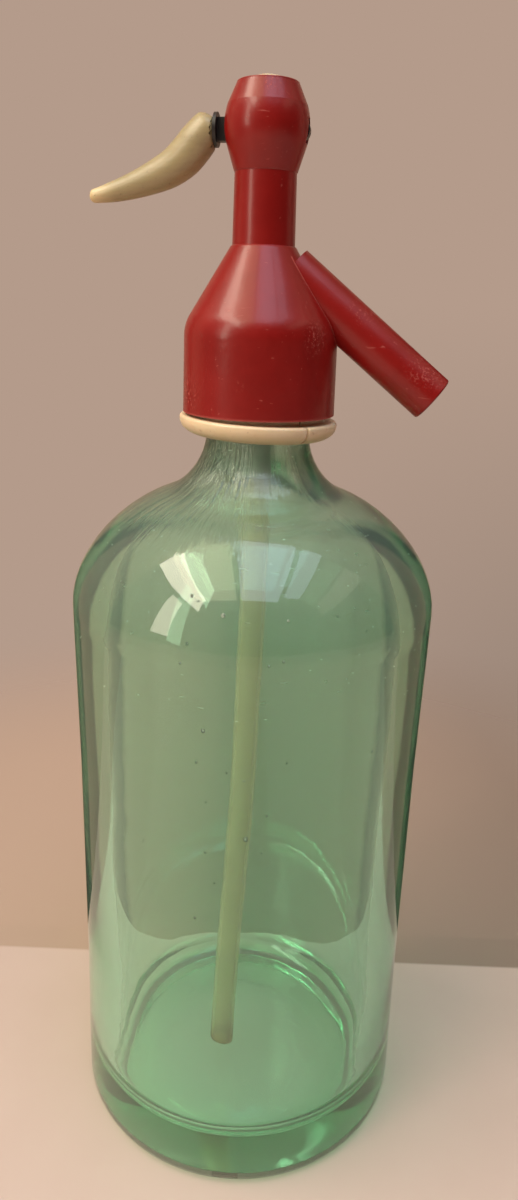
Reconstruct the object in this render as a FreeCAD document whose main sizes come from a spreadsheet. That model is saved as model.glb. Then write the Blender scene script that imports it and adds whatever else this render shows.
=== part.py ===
import FreeCAD, Part
import math
import os

import Sketcher

# Soda siphon: a thick glass bottle with a screw-on plastic head, a hand lever and a valve on a sprung stem.
# Origin at the middle of the bottle's base, +Z up, the spout towards +X and the lever towards -X.
# Lengths are in millimetres and angles in degrees.

SIZES = {
    # Bottle
    "heel_radius": 51.6,
    "heel_round": 4.0,
    "waist_radius": 50.2,
    "waist_level": 84.0,
    "shoulder_radius": 51.0,
    "shoulder_level": 162.0,
    "shoulder_curve": 39.6,
    "shoulder_height": 63.5,
    "neck_radius": 13.9,
    "neck_curve": 17.0,
    "bead_projection": 2.0,
    "bead_height": 8.5,
    "lip_round": 1.4,
    "glass_wall": 4.6,
    "floor_thickness": 11.0,
    "floor_curve": 13.0,
    "foot_width": 4.0,
    "kick_depth": 2.2,
    "bore_radius": 8.5,
    "bore_curve": 22.0,
    # Collar, split in two and threaded outside
    "collar_drop": 11.0,
    "collar_rim": 0.95,
    "collar_flange": 5.1,
    "collar_edge_round": 0.7,
    "collar_belly": 4.4,
    "collar_curve": 4.8,
    "collar_wall": 1.15,
    "collar_height": 17.6,
    "kerf": 0.8,
    "split_angle": 44.5,
    # Thread shared by collar and head
    "thread_pitch": 3.0,
    "thread_depth": 1.0,
    "thread_crest": 0.6,
    "thread_base": 1.5,
    "thread_lead": 2.7,
    "thread_turns": 3,
    "thread_clearance": 0.3,
    # Head moulding, outside
    "skirt_gap": 1.1,
    "skirt_wall": 1.5,
    "skirt_draft": 0.2,
    "cone_round": 10.0,
    "cone_height": 19.0,
    "cone_top_radius": 8.35,
    "crease_height": 0.3,
    "stalk_height": 16.9,
    "stalk_foot_radius": 7.95,
    "stalk_top_radius": 7.7,
    "bulb_foot_height": 5.3,
    "bulb_foot_radius": 7.9,
    "bulb_height": 9.4,
    "bulb_low_radius": 9.55,
    "bulb_high_radius": 9.7,
    "bulb_swell": 0.8,
    "bulb_roof_height": 4.9,
    "rim_radius": 7.6,
    "rim_round": 0.4,
    "rim_width": 1.4,
    # Head moulding, inside
    "valve_bore": 10.5,
    "valve_bore_depth": 10.7,
    "outlet_radius": 5.5,
    "outlet_height": 12.0,
    "gland_web": 2.5,
    "spring_bore": 5.3,
    "spring_bore_depth": 16.2,
    "cavity_taper": 3.8,
    "cavity_radius": 7.6,
    "cavity_height": 9.4,
    "ledge_height": 1.6,
    "mouth_depth": 3.2,
    # Spout
    "spout_rise": 0.7,
    "spout_angle": 38.4,
    "spout_start": 9.4,
    "spout_length": 48.7,
    "spout_radius": 6.15,
    "spout_bore": 3.2,
    "spout_edge": 0.5,
    # Stack between the bottle's lip and the head
    "lip_gasket": 1.6,
    "flange_thickness": 2.0,
    "flange_radius": 14.5,
    "head_gasket": 1.2,
    "plug_depth": 6.0,
    "plug_clearance": 0.5,
    "spigot_depth": 13.6,
    "spigot_bore": 2.6,
    # Dip tube and the sleeve that joins it to the spigot
    "tube_radius": 3.8,
    "tube_bore": 2.7,
    "tube_floor_gap": 2.0,
    "tube_straight": 52.0,
    "tube_bend_radius": 1000.0,
    "tube_bend_angle": 3.7,
    "tube_side_angle": 231.0,
    "tube_end_slope": 15.0,
    "sleeve_wall": 0.75,
    "sleeve_drop": 20.0,
    "sleeve_overlap": 5.8,
    # Valve and stem
    "seat_thickness": 3.9,
    "seat_hole": 3.8,
    "seat_clearance": 0.6,
    "seat_lip": 0.6,
    "seat_lip_inset": 0.4,
    "seat_lip_width": 0.9,
    "seat_lip_slope": 0.2,
    "disc_margin": 1.1,
    "disc_thickness": 2.2,
    "disc_gap": 0.1,
    "stem_radius": 2.3,
    "stem_collar": 2.4,
    "stud_radius": 1.5,
    "stud_tail": 0.7,
    "nut_flats": 6.0,
    "nut_height": 2.4,
    "seal_height": 2.4,
    "washer_thickness": 1.2,
    "crown_clearance": 0.5,
    "crown_bridge": 1.9,
    # Lever
    "pivot_inset": 0.4,
    "pivot_rise": 4.0,
    "bar_height": 5.2,
    "bar_thickness": 3.0,
    "bar_clearance": 1.6,
    "lever_angle": 12.0,
    "backplate_radius": 3.9,
    "backplate_thickness": 0.8,
    "tang_length": 4.6,
    "tang_height": 2.6,
    "notch_width": 4.2,
    "notch_depth": 1.3,
    "notch_offset": 0.28,
    "ridge_radius": 1.0,
    # Handle, a horn that leaves the bar steeply and flattens out
    "horn_rise": 2.0,
    "horn_root_angle": 49.0,
    "horn_middle_angle": 24.5,
    "horn_tip_angle": 9.5,
    "horn_cover_angle": 74.0,
    "horn_swell": 2.6,
    "horn_straight": 8.7,
    "horn_tight_curve": 20.0,
    "horn_slack_curve": 77.0,
    "horn_root_radius": 3.4,
    "horn_thick_radius": 4.5,
    "horn_middle_radius": 3.6,
    "horn_tip_radius": 1.8,
    # Cap and spring
    "cap_height": 3.3,
    "cap_dome": 1.5,
    "cap_clearance": 0.08,
    "wire_radius": 0.4,
    "spring_clearance": 0.8,
    "spring_turns": 5.5,
    # Fits, and how far a cut runs past what it cuts
    "press_gap": 0.05,
    "running_gap": 0.08,
    "swing_gap": 0.35,
    "cut_margin": 1.0,
}

SMALLEST_CHANGE = 1e-3  # mm3 that a feature has to add or remove
HORN_BEND_STEPS = 3  # sections along each bend of the handle
HORN_END_STEPS = 3  # sections that round its tip off

doc = FreeCAD.newDocument("soda_siphon")
sheet = doc.addObject("Spreadsheet::Sheet", "Sizes")
bodies = []


class Size:
    """A number together with the spreadsheet formula that gives it."""

    def __init__(self, value, formula=None):
        self.value = float(value)
        self.formula = formula or repr(float(value))

    def __add__(self, other):
        return join(self, "+", other, lambda a, b: a + b)

    def __radd__(self, other):
        return join(other, "+", self, lambda a, b: a + b)

    def __sub__(self, other):
        return join(self, "-", other, lambda a, b: a - b)

    def __rsub__(self, other):
        return join(other, "-", self, lambda a, b: a - b)

    def __mul__(self, other):
        return join(self, "*", other, lambda a, b: a * b)

    def __rmul__(self, other):
        return join(other, "*", self, lambda a, b: a * b)

    def __truediv__(self, other):
        return join(self, "/", other, lambda a, b: a / b)

    def __rtruediv__(self, other):
        return join(other, "/", self, lambda a, b: a / b)

    def __neg__(self):
        return Size(-self.value, "(-%s)" % self.formula)


def sized(item):
    return item if isinstance(item, Size) else Size(item)


def join(left, sign, right, result):
    left, right = sized(left), sized(right)
    return Size(result(left.value, right.value), "(%s %s %s)" % (left.formula, sign, right.formula))


def root(item):
    return Size(math.sqrt(item.value), "sqrt(%s)" % item.formula)


def sine(angle):
    return Size(math.sin(math.radians(angle.value)), "sin(%s)" % angle.formula)


def cosine(angle):
    return Size(math.cos(math.radians(angle.value)), "cos(%s)" % angle.formula)


def fill_sheet():
    for row, (name, value) in enumerate(SIZES.items(), start=1):
        sheet.set("A%d" % row, name)
        sheet.set("B%d" % row, repr(value))
        sheet.setAlias("B%d" % row, name)
    doc.recompute()


class Dimensions:
    """Gives each cell of the sheet as a Size of the same name."""

    def __getattr__(self, name):
        return Size(SIZES[name], "Sizes.%s" % name)


dim = Dimensions()
HALF_TURN = Size(180)


# Helpers for sketches and features


class Arc:
    """Joins two corners of an outline by a circular arc; turn +1 runs counter-clockwise, -1 clockwise."""

    def __init__(self, radius, turn):
        self.radius = sized(radius)
        self.turn = turn


def new_body(label, angle=None):
    body = doc.addObject("PartDesign::Body", label)
    body.Label = label
    if angle is not None:
        body.Placement = FreeCAD.Placement(FreeCAD.Vector(), FreeCAD.Vector(0, 0, 1), angle.value)
        body.setExpression("Placement.Rotation.Angle", angle.formula)
    bodies.append(body)
    return body


def plane_of(body, role):
    return next(item for item in body.Origin.OriginFeatures if item.Role == role)


def new_sketch(body, role, name, offset=None, tilt=None):
    """A sketch on one of the body's own planes, moved by offset and tilted about the plane's X axis."""
    sketch = body.newObject("Sketcher::SketchObject", body.Label + "_" + name)
    sketch.AttachmentSupport = [(plane_of(body, role), "")]
    sketch.MapMode = "FlatFace"
    if offset is not None:
        base = FreeCAD.Vector(*[sized(part).value for part in offset])
        turn = FreeCAD.Rotation(FreeCAD.Vector(1, 0, 0), tilt.value if tilt is not None else 0.0)
        sketch.AttachmentOffset = FreeCAD.Placement(base, turn)
        for axis, part in zip("xyz", offset):
            if isinstance(part, Size):
                sketch.setExpression("AttachmentOffset.Base.%s" % axis, part.formula)
        if tilt is not None:
            sketch.setExpression("AttachmentOffset.Rotation.Angle", tilt.formula)
    return sketch


def bind(sketch, constraint, size):
    index = sketch.addConstraint(constraint)
    sketch.setExpression("Constraints[%d]" % index, size.formula)


def pin_point(sketch, geometry, end, corner):
    """Holds one end of an edge at a corner whose two coordinates are sizes."""
    for kind, axis, part in (("DistanceX", -2, corner[0]), ("DistanceY", -1, corner[1])):
        size = sized(part)
        if isinstance(part, Size):
            bind(sketch, Sketcher.Constraint(kind, -1, 1, geometry, end, size.value), size)
        else:
            sketch.addConstraint(Sketcher.Constraint("PointOnObject", geometry, end, axis))


def flat_vector(corner):
    return FreeCAD.Vector(sized(corner[0]).value, sized(corner[1]).value, 0)


def arc_edge(start, end, arc):
    chord = end - start
    middle = (start + end) * 0.5
    rise = math.sqrt(max(arc.radius.value**2 - (chord.Length / 2) ** 2, 0.0))
    left = FreeCAD.Vector(-chord.y, chord.x, 0).normalize()
    centre = middle + left * (rise * arc.turn)
    circle = Part.Circle(centre, FreeCAD.Vector(0, 0, 1), arc.radius.value)
    first, last = (start, end) if arc.turn > 0 else (end, start)
    angles = [math.atan2(point.y - centre.y, point.x - centre.x) for point in (first, last)]
    if angles[1] <= angles[0]:
        angles[1] += 2 * math.pi
    return Part.ArcOfCircle(circle, *angles)


def draw_outline(sketch, items, closed=True):
    """Draws corners joined by lines, or by the Arc that stands between two of them, bound to their sizes."""
    corners = [item for item in items if not isinstance(item, Arc)]
    arcs = {}
    for index, item in enumerate(items):
        if isinstance(item, Arc):
            arcs[sum(not isinstance(earlier, Arc) for earlier in items[:index]) - 1] = item
    edges = []
    for index in range(len(corners) if closed else len(corners) - 1):
        start, end = flat_vector(corners[index]), flat_vector(corners[(index + 1) % len(corners)])
        arc = arcs.get(index)
        if arc is None:
            edges.append((sketch.addGeometry(Part.LineSegment(start, end), False), 1, 2))
        else:
            geometry = sketch.addGeometry(arc_edge(start, end, arc), False)
            edges.append((geometry, 1, 2) if arc.turn > 0 else (geometry, 2, 1))
            bind(sketch, Sketcher.Constraint("Radius", geometry, arc.radius.value), arc.radius)
    for index, (geometry, first, last) in enumerate(edges):
        pin_point(sketch, geometry, first, corners[index])
        if closed or index + 1 < len(edges):
            follower = edges[(index + 1) % len(edges)]
            sketch.addConstraint(Sketcher.Constraint("Coincident", geometry, last, follower[0], follower[1]))
        else:
            pin_point(sketch, geometry, last, corners[index + 1])
    return sketch


def draw_circle(sketch, radius, centre=(0, 0)):
    circle = Part.Circle(flat_vector(centre), FreeCAD.Vector(0, 0, 1), radius.value)
    geometry = sketch.addGeometry(circle, False)
    bind(sketch, Sketcher.Constraint("Radius", geometry, radius.value), radius)
    pin_point(sketch, geometry, 3, centre)
    return sketch


def rectangle(low, high):
    return [low, (high[0], low[1]), high, (low[0], high[1])]


def set_length(feature, size):
    feature.Length = size.value
    feature.setExpression("Length", size.formula)


def finish_feature(body, feature, grows):
    """Recomputes, and makes sure that the feature really adds or removes material."""
    before = 0.0
    earlier = feature.BaseFeature
    if earlier is not None:
        before = earlier.Shape.Volume
    body.Tip = feature
    doc.recompute()
    change = feature.Shape.Volume - before
    if (change > 0) != grows or abs(change) < SMALLEST_CHANGE:
        raise RuntimeError("%s changes the volume by %.3f" % (feature.Label, change))
    return feature


def revolve(body, sketch, degrees=360.0):
    feature = body.newObject("PartDesign::Revolution", body.Label + "_turned")
    feature.Profile = sketch
    feature.ReferenceAxis = (sketch, ["V_Axis"])
    feature.Angle = degrees
    return finish_feature(body, feature, True)


def groove(body, sketch):
    feature = body.newObject("PartDesign::Groove", body.Label + "_turned_away")
    feature.Profile = sketch
    feature.ReferenceAxis = (sketch, ["V_Axis"])
    feature.Angle = 360.0
    return finish_feature(body, feature, False)


def pad(body, sketch, length, symmetric=False, backwards=False):
    feature = body.newObject("PartDesign::Pad", body.Label + "_pad")
    feature.Profile = sketch
    set_length(feature, length)
    feature.SideType = "Symmetric" if symmetric else "One side"
    feature.Reversed = backwards
    return finish_feature(body, feature, True)


def pocket(body, sketch, length, symmetric=True, backwards=False):
    feature = body.newObject("PartDesign::Pocket", body.Label + "_pocket")
    feature.Profile = sketch
    set_length(feature, length)
    feature.SideType = "Symmetric" if symmetric else "One side"
    feature.Reversed = backwards
    return finish_feature(body, feature, False)


def round_edges(body, radius, chosen):
    """Fillets the edges of the tip that the test picks."""
    tip = body.Tip
    names = ["Edge%d" % (index + 1) for index, edge in enumerate(tip.Shape.Edges) if chosen(edge)]
    if not names:
        raise RuntimeError("no edge to round on %s" % body.Label)
    feature = body.newObject("PartDesign::Fillet", body.Label + "_rounding")
    feature.Base = (tip, names)
    feature.Radius = radius.value
    feature.setExpression("Radius", radius.formula)
    body.Tip = feature
    doc.recompute()
    return feature


def ring(label, inner, outer, low, high):
    """A plain turned ring between two radii and two levels."""
    body = new_body(label)
    sketch = new_sketch(body, "XZ_Plane", "section")
    revolve(body, draw_outline(sketch, rectangle((inner, low), (outer, high))))
    return body


# Curves shared by several outlines


def tangent_corner(low_centre, low_radius, high_centre, high_radius):
    """The point where two circles that touch from outside meet, on the line through their centres."""
    share = low_radius / (low_radius + high_radius)
    return (
        low_centre[0] + (high_centre[0] - low_centre[0]) * share,
        low_centre[1] + (high_centre[1] - low_centre[1]) * share,
    )


def shoulder_meeting(wall_radius, curve, neck, neck_curve):
    """Where the shoulder's arc hands over to the neck's, and the level at which the neck turns straight."""
    low_centre = (wall_radius - curve, dim.shoulder_level)
    reach = curve + neck_curve
    across = neck + neck_curve - low_centre[0]
    neck_level = dim.shoulder_level + root(reach * reach - across * across)
    return tangent_corner(low_centre, curve, (neck + neck_curve, neck_level), neck_curve), neck_level


def sagitta_radius(start, end, depth):
    """Radius of the arc that stands out from the chord between two corners by the given depth."""
    across, along = end[0] - start[0], end[1] - start[1]
    return ((across * across + along * along) / 4 + depth * depth) / (2 * depth)


# Bottle's mouth, and the collar that grips under its bead

bead_radius = dim.neck_radius + dim.bead_projection
bead_level = dim.shoulder_level + dim.shoulder_height
lip_level = bead_level + dim.bead_height
step_radius = bead_radius + dim.swing_gap
collar_root = step_radius + dim.collar_wall
collar_level = bead_level - dim.collar_drop
collar_top = collar_level + dim.collar_height
flange_level = collar_level + dim.collar_flange
thread_root = collar_root + dim.thread_depth + dim.thread_clearance

# What stands on the bottle's lip, from the gasket up to the head's rim

gasket_top = lip_level + dim.lip_gasket
flange_top = gasket_top + dim.flange_thickness
head_ledge = flange_top + dim.head_gasket
outlet_floor = head_ledge + dim.valve_bore_depth
outlet_ceiling = outlet_floor + dim.outlet_height
gland_level = outlet_ceiling + dim.gland_web
spring_bore_top = gland_level + dim.spring_bore_depth
cavity_floor = spring_bore_top + dim.cavity_taper
cavity_ceiling = cavity_floor + dim.cavity_height
mouth_floor = cavity_ceiling + dim.ledge_height
rim_level = mouth_floor + dim.mouth_depth

# The head's outside, from its rim down to the skirt that covers the thread

bulb_high_level = rim_level - dim.bulb_roof_height
bulb_low_level = bulb_high_level - dim.bulb_height
stalk_top_level = bulb_low_level - dim.bulb_foot_height
cone_top_level = stalk_top_level - dim.stalk_height
cone_level = cone_top_level - dim.cone_height
skirt_level = flange_level + dim.skirt_gap
skirt_radius = thread_root + dim.skirt_wall
skirt_top_radius = skirt_radius - dim.skirt_draft
collar_radius = skirt_radius + dim.collar_rim
bulb_radius = dim.bulb_high_radius + dim.bulb_swell
mouth_radius = dim.rim_radius - dim.rim_width
bulb_curve = sagitta_radius(
    (dim.bulb_low_radius, bulb_low_level), (dim.bulb_high_radius, bulb_high_level), dim.bulb_swell
)

# Gland, valve and dip tube

seal_top = gland_level + dim.seal_height
washer_top = seal_top + dim.washer_thickness
seat_bottom = outlet_floor - dim.seat_thickness
seat_lip_inner = dim.seat_hole + dim.seat_lip_inset
seat_lip_outer = seat_lip_inner + dim.seat_lip_width
disc_top = seat_bottom - dim.seat_lip - dim.disc_gap
disc_bottom = disc_top - dim.disc_thickness
nut_bottom = disc_bottom - dim.nut_height
spigot_foot = gasket_top - dim.spigot_depth
sleeve_bore = dim.tube_radius + dim.press_gap

# Spout

spout_level = outlet_ceiling + dim.spout_rise
spout_end = dim.spout_start + dim.spout_length
stem_room = dim.stem_radius + dim.swing_gap
outlet_start = (stem_room + dim.spout_bore * sine(dim.spout_angle)) / cosine(dim.spout_angle)

# Lever, the eye of the stem that it passes through, and the windows in the bulb

pivot_reach = dim.cavity_radius + dim.pivot_inset
pivot_level = cavity_floor + dim.pivot_rise
bar_reach = bulb_radius + dim.bar_clearance
bar_bottom = pivot_level - dim.bar_height / 2
bar_top = pivot_level + dim.bar_height / 2
backplate_face = -bar_reach - dim.backplate_thickness
crown_radius = dim.spring_bore - dim.crown_clearance
eye_width = dim.bar_thickness + 2 * dim.swing_gap
eye_rise = dim.bar_height / 2 + crown_radius * sine(dim.lever_angle) + dim.swing_gap
eye_floor = pivot_level - eye_rise
eye_ceiling = pivot_level + eye_rise
crown_bottom = eye_floor - dim.crown_bridge
crown_top = eye_ceiling + dim.crown_bridge
window_drop = (pivot_reach + bulb_radius) * sine(dim.lever_angle)
window_floor = bar_bottom - window_drop - dim.swing_gap
window_ceiling = bar_top + dim.swing_gap
nose_window_floor = bar_bottom - dim.swing_gap
nose_window_ceiling = bar_top + dim.running_gap


# Bottle


def make_bottle():
    body = new_body("glass_bottle")
    heel = (dim.heel_radius, dim.heel_round)
    foot_outer = dim.heel_radius - dim.heel_round
    foot_inner = foot_outer - dim.foot_width
    shoulder = (dim.shoulder_radius, dim.shoulder_level)
    outer_meeting, neck_level = shoulder_meeting(
        dim.shoulder_radius, dim.shoulder_curve, dim.neck_radius, dim.neck_curve
    )
    inner_wall = dim.shoulder_radius - dim.glass_wall
    inner_curve = dim.shoulder_curve - dim.glass_wall
    inner_meeting, bore_level = shoulder_meeting(inner_wall, inner_curve, dim.bore_radius, dim.bore_curve)
    inner_heel = (dim.heel_radius - dim.glass_wall, dim.floor_thickness + dim.floor_curve)
    outline = [
        (0, dim.kick_depth),
        (foot_inner - dim.kick_depth, dim.kick_depth),
        (foot_inner, 0),
        (foot_outer, 0),
        Arc(dim.heel_round, 1),
        heel,
        (dim.waist_radius, dim.waist_level),
        shoulder,
        Arc(dim.shoulder_curve, 1),
        outer_meeting,
        Arc(dim.neck_curve, -1),
        (dim.neck_radius, neck_level),
        (dim.neck_radius, bead_level),
        (bead_radius, bead_level + dim.bead_projection / 2),
        (bead_radius, lip_level - dim.lip_round),
        Arc(dim.lip_round, 1),
        (bead_radius - dim.lip_round, lip_level),
        (dim.bore_radius + dim.lip_round / 2, lip_level),
        (dim.bore_radius, lip_level - dim.lip_round / 2),
        (dim.bore_radius, bore_level),
        Arc(dim.bore_curve, 1),
        inner_meeting,
        Arc(inner_curve, -1),
        (inner_wall, dim.shoulder_level),
        (dim.waist_radius - dim.glass_wall, dim.waist_level),
        inner_heel,
        Arc(dim.floor_curve, -1),
        (inner_heel[0] - dim.floor_curve, dim.floor_thickness),
        (0, dim.floor_thickness),
    ]
    revolve(body, draw_outline(new_sketch(body, "XZ_Plane", "section"), outline))


# Collar: both halves come from one ring, sawn through


def thread_ridges(base_radius, crest_radius, first_level, count):
    """Corners of a run of ridges, from the lowest up, on a surface of radius base_radius."""
    corners = []
    for turn in range(count):
        middle = first_level + dim.thread_pitch * turn
        corners += [
            (base_radius, middle - dim.thread_base / 2),
            (crest_radius, middle - dim.thread_crest / 2),
            (crest_radius, middle + dim.thread_crest / 2),
            (base_radius, middle + dim.thread_base / 2),
        ]
    return corners


def make_collar_half(label, turned):
    body = new_body(label, turned)
    inner = dim.neck_radius + dim.swing_gap
    step_level = bead_level - dim.swing_gap
    belly_top = collar_level + dim.collar_belly - dim.collar_edge_round
    outline = [
        (inner, collar_level),
        (collar_radius - dim.collar_belly, collar_level),
        Arc(dim.collar_curve, 1),
        (collar_radius, belly_top),
        (collar_radius, flange_level - dim.collar_edge_round),
        Arc(dim.collar_edge_round, 1),
        (collar_radius - dim.collar_edge_round, flange_level),
        (collar_root, flange_level),
    ]
    crest = collar_root + dim.thread_depth
    first_level = skirt_level + dim.thread_lead + dim.thread_pitch / 2
    outline += thread_ridges(collar_root, crest, first_level, SIZES["thread_turns"] - 1)
    outline += [
        (collar_root, collar_top),
        (step_radius, collar_top),
        (step_radius, step_level + dim.bead_projection / 2),
        (inner, step_level),
    ]
    revolve(body, draw_outline(new_sketch(body, "XZ_Plane", "section"), outline), 180.0)
    reach = collar_radius + dim.cut_margin
    slot = new_sketch(body, "XZ_Plane", "kerf")
    low, high = collar_level - dim.cut_margin, collar_top + dim.cut_margin
    draw_outline(slot, rectangle((-reach, low), (reach, high)))
    pocket(body, slot, dim.kerf)


# Head moulding


def outer_head_corners():
    """The head's outside from the skirt's bottom edge up to its rim."""
    cone_fall = skirt_top_radius - dim.cone_top_radius
    slant = root(dim.cone_height * dim.cone_height + cone_fall * cone_fall)
    tangent = dim.cone_round * (slant - dim.cone_height) / cone_fall
    cone_corner = (
        skirt_top_radius - tangent * cone_fall / slant,
        cone_level + tangent * dim.cone_height / slant,
    )
    return [
        (skirt_radius, skirt_level),
        (skirt_top_radius, cone_level - tangent),
        Arc(dim.cone_round, 1),
        cone_corner,
        (dim.cone_top_radius, cone_top_level),
        (dim.stalk_foot_radius, cone_top_level + dim.crease_height),
        (dim.stalk_top_radius, stalk_top_level),
        (dim.bulb_foot_radius, stalk_top_level + dim.crease_height),
        (dim.bulb_low_radius, bulb_low_level),
        Arc(bulb_curve, 1),
        (dim.bulb_high_radius, bulb_high_level),
        (dim.rim_radius, rim_level - dim.rim_round),
        Arc(dim.rim_round, 1),
        (dim.rim_radius - dim.rim_round, rim_level),
    ]


def inner_head_corners():
    """The head's inside from its mouth down to the skirt."""
    thread_crest = thread_root - dim.thread_depth
    first_level = skirt_level + dim.thread_lead
    down = thread_ridges(thread_root, thread_crest, first_level, SIZES["thread_turns"])[::-1]
    stem_hole = dim.stem_radius + dim.running_gap
    return [
        (mouth_radius, rim_level),
        (mouth_radius, mouth_floor),
        (dim.cavity_radius, cavity_ceiling),
        (dim.cavity_radius, cavity_floor),
        (dim.spring_bore, spring_bore_top),
        (dim.spring_bore, gland_level),
        (stem_hole, gland_level),
        (stem_hole, outlet_ceiling),
        (dim.outlet_radius, outlet_ceiling),
        (dim.outlet_radius, outlet_floor),
        (dim.valve_bore, outlet_floor),
        (dim.valve_bore, head_ledge),
        (thread_root, head_ledge),
    ] + down + [(thread_root, skirt_level)]


def spout_sketch(body, name, distance):
    """A sketch square to the spout's axis, at a distance along it from the head's own axis."""
    level = spout_level - distance * sine(dim.spout_angle)
    return new_sketch(body, "YZ_Plane", name, (0, level, distance * cosine(dim.spout_angle)), dim.spout_angle)


def make_head():
    body = new_body("head_shell")
    section = new_sketch(body, "XZ_Plane", "section")
    revolve(body, draw_outline(section, outer_head_corners() + inner_head_corners()))
    outside = bulb_radius + dim.cut_margin
    inside = dim.spring_bore - dim.cut_margin
    windows = new_sketch(body, "XZ_Plane", "windows")
    draw_outline(windows, rectangle((-outside, window_floor), (-inside, window_ceiling)))
    draw_outline(windows, rectangle((inside, nose_window_floor), (outside, nose_window_ceiling)))
    pocket(body, windows, eye_width)
    outlet = draw_circle(spout_sketch(body, "outlet", outlet_start), dim.spout_bore)
    pocket(body, outlet, dim.spout_length, symmetric=False, backwards=True)


# Spout, bonded in the saddle that the head's cone leaves


def make_spout():
    body = new_body("spout_tube")
    section = spout_sketch(body, "section", dim.spout_start)
    draw_circle(section, dim.spout_radius)
    draw_circle(section, dim.spout_bore)
    pad(body, section, dim.spout_length)
    saddle = new_sketch(body, "XZ_Plane", "saddle")
    head = outer_head_corners()
    draw_outline(saddle, [(0, skirt_level)] + head[:6] + [(0, cone_top_level + dim.crease_height)])
    groove(body, saddle)
    tip_reach = (spout_end * cosine(dim.spout_angle)).value
    mean_turn = math.pi * (dim.spout_radius + dim.spout_bore).value
    round_edges(
        body,
        dim.spout_edge,
        lambda edge: edge.Length > mean_turn
        and abs(edge.BoundBox.Center.x - tip_reach) < dim.spout_edge.value,
    )


# Cap pressed into the head's mouth


def make_cap():
    body = new_body("top_cap")
    radius = mouth_radius - dim.cap_clearance
    low = rim_level - dim.cap_height
    edge_level = rim_level - dim.rim_round / 2
    dome_rise = dim.cap_dome + dim.rim_round / 2
    dome = ((radius * radius) + dome_rise * dome_rise) / (2 * dome_rise)
    outline = [(0, low), (radius, low), (radius, edge_level), Arc(dome, 1), (0, rim_level + dim.cap_dome)]
    revolve(body, draw_outline(new_sketch(body, "XZ_Plane", "section"), outline))


# Valve seat, gaskets and the holder of the dip tube


def make_seat():
    body = new_body("valve_seat")
    outer = dim.valve_bore - dim.press_gap
    outline = [
        (dim.seat_hole, seat_bottom),
        (seat_lip_inner, seat_bottom),
        (seat_lip_inner + dim.seat_lip_slope, seat_bottom - dim.seat_lip),
        (seat_lip_outer - dim.seat_lip_slope, seat_bottom - dim.seat_lip),
        (seat_lip_outer, seat_bottom),
        (outer, seat_bottom),
        (outer, outlet_floor),
        (dim.seat_hole, outlet_floor),
    ]
    revolve(body, draw_outline(new_sketch(body, "XZ_Plane", "section"), outline))


def make_gaskets():
    ring("lip_gasket", dim.bore_radius + dim.lip_round / 2, dim.flange_radius, lip_level, gasket_top)
    ring("head_gasket", dim.valve_bore, dim.flange_radius, flange_top, head_ledge)


def make_tube_holder():
    body = new_body("tube_holder")
    plug = dim.bore_radius - dim.plug_clearance
    spigot = dim.tube_radius
    outline = [
        (dim.spigot_bore, spigot_foot),
        (spigot, spigot_foot),
        (spigot, gasket_top - dim.plug_depth),
        (plug, gasket_top - dim.plug_depth),
        (plug, gasket_top),
        (dim.flange_radius, gasket_top),
        (dim.flange_radius, flange_top),
        (dim.spigot_bore, flange_top),
    ]
    revolve(body, draw_outline(new_sketch(body, "XZ_Plane", "section"), outline))


def make_sleeve():
    outer = sleeve_bore + dim.sleeve_wall
    ring("tube_sleeve", sleeve_bore, outer, spigot_foot - dim.sleeve_drop, spigot_foot + dim.sleeve_overlap)


def make_dip_tube():
    """Straight under the spigot, then a gentle bend and a leaning run, cut off at a slant near the floor."""
    body = new_body("dip_tube", dim.tube_side_angle)
    straight_end = spigot_foot - dim.tube_straight
    tip_level = dim.floor_thickness + dim.tube_floor_gap
    uncut_level = tip_level - dim.cut_margin
    bend_reach = dim.tube_bend_radius * (1 - cosine(dim.tube_bend_angle))
    bend_foot = straight_end - dim.tube_bend_radius * sine(dim.tube_bend_angle)
    lean = sine(dim.tube_bend_angle) / cosine(dim.tube_bend_angle)
    spine = new_sketch(body, "XZ_Plane", "spine")
    path = [
        (0, spigot_foot),
        (0, straight_end),
        Arc(dim.tube_bend_radius, 1),
        (bend_reach, bend_foot),
        (bend_reach + (bend_foot - uncut_level) * lean, uncut_level),
    ]
    draw_outline(spine, path, closed=False)
    section = new_sketch(body, "XY_Plane", "section", (0, 0, spigot_foot))
    draw_circle(section, dim.tube_radius)
    draw_circle(section, dim.tube_bore)
    pipe = body.newObject("PartDesign::AdditivePipe", "dip_tube_pipe")
    pipe.Profile = section
    pipe.Spine = (spine, ["Edge1", "Edge2", "Edge3"])
    finish_feature(body, pipe, True)
    slope = sine(dim.tube_end_slope) / cosine(dim.tube_end_slope)
    tip_drop = dim.tube_radius * sine(dim.tube_end_slope) / cosine(dim.tube_end_slope - dim.tube_bend_angle)
    cut_level = tip_level + tip_drop
    cut_middle = bend_reach + (bend_foot - cut_level) * lean
    cut_reach = dim.tube_radius + 2 * dim.cut_margin
    cut_foot = cut_level - cut_reach * slope
    waste = [
        (cut_middle - cut_reach, cut_foot),
        (cut_middle - cut_reach, cut_foot - cut_reach),
        (cut_middle + cut_reach, cut_foot - cut_reach),
        (cut_middle + cut_reach, cut_level + cut_reach * slope),
    ]
    pocket(body, draw_outline(new_sketch(body, "XZ_Plane", "slant"), waste), 2 * cut_reach)


# Stem, its seal and its valve


def make_gland():
    seal_inner = dim.stem_radius + dim.running_gap
    seal_outer = dim.spring_bore - dim.press_gap
    ring("stem_seal", seal_inner, seal_outer, gland_level, seal_top)
    ring("gland_washer", seal_inner, seal_outer, seal_top, washer_top)


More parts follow.
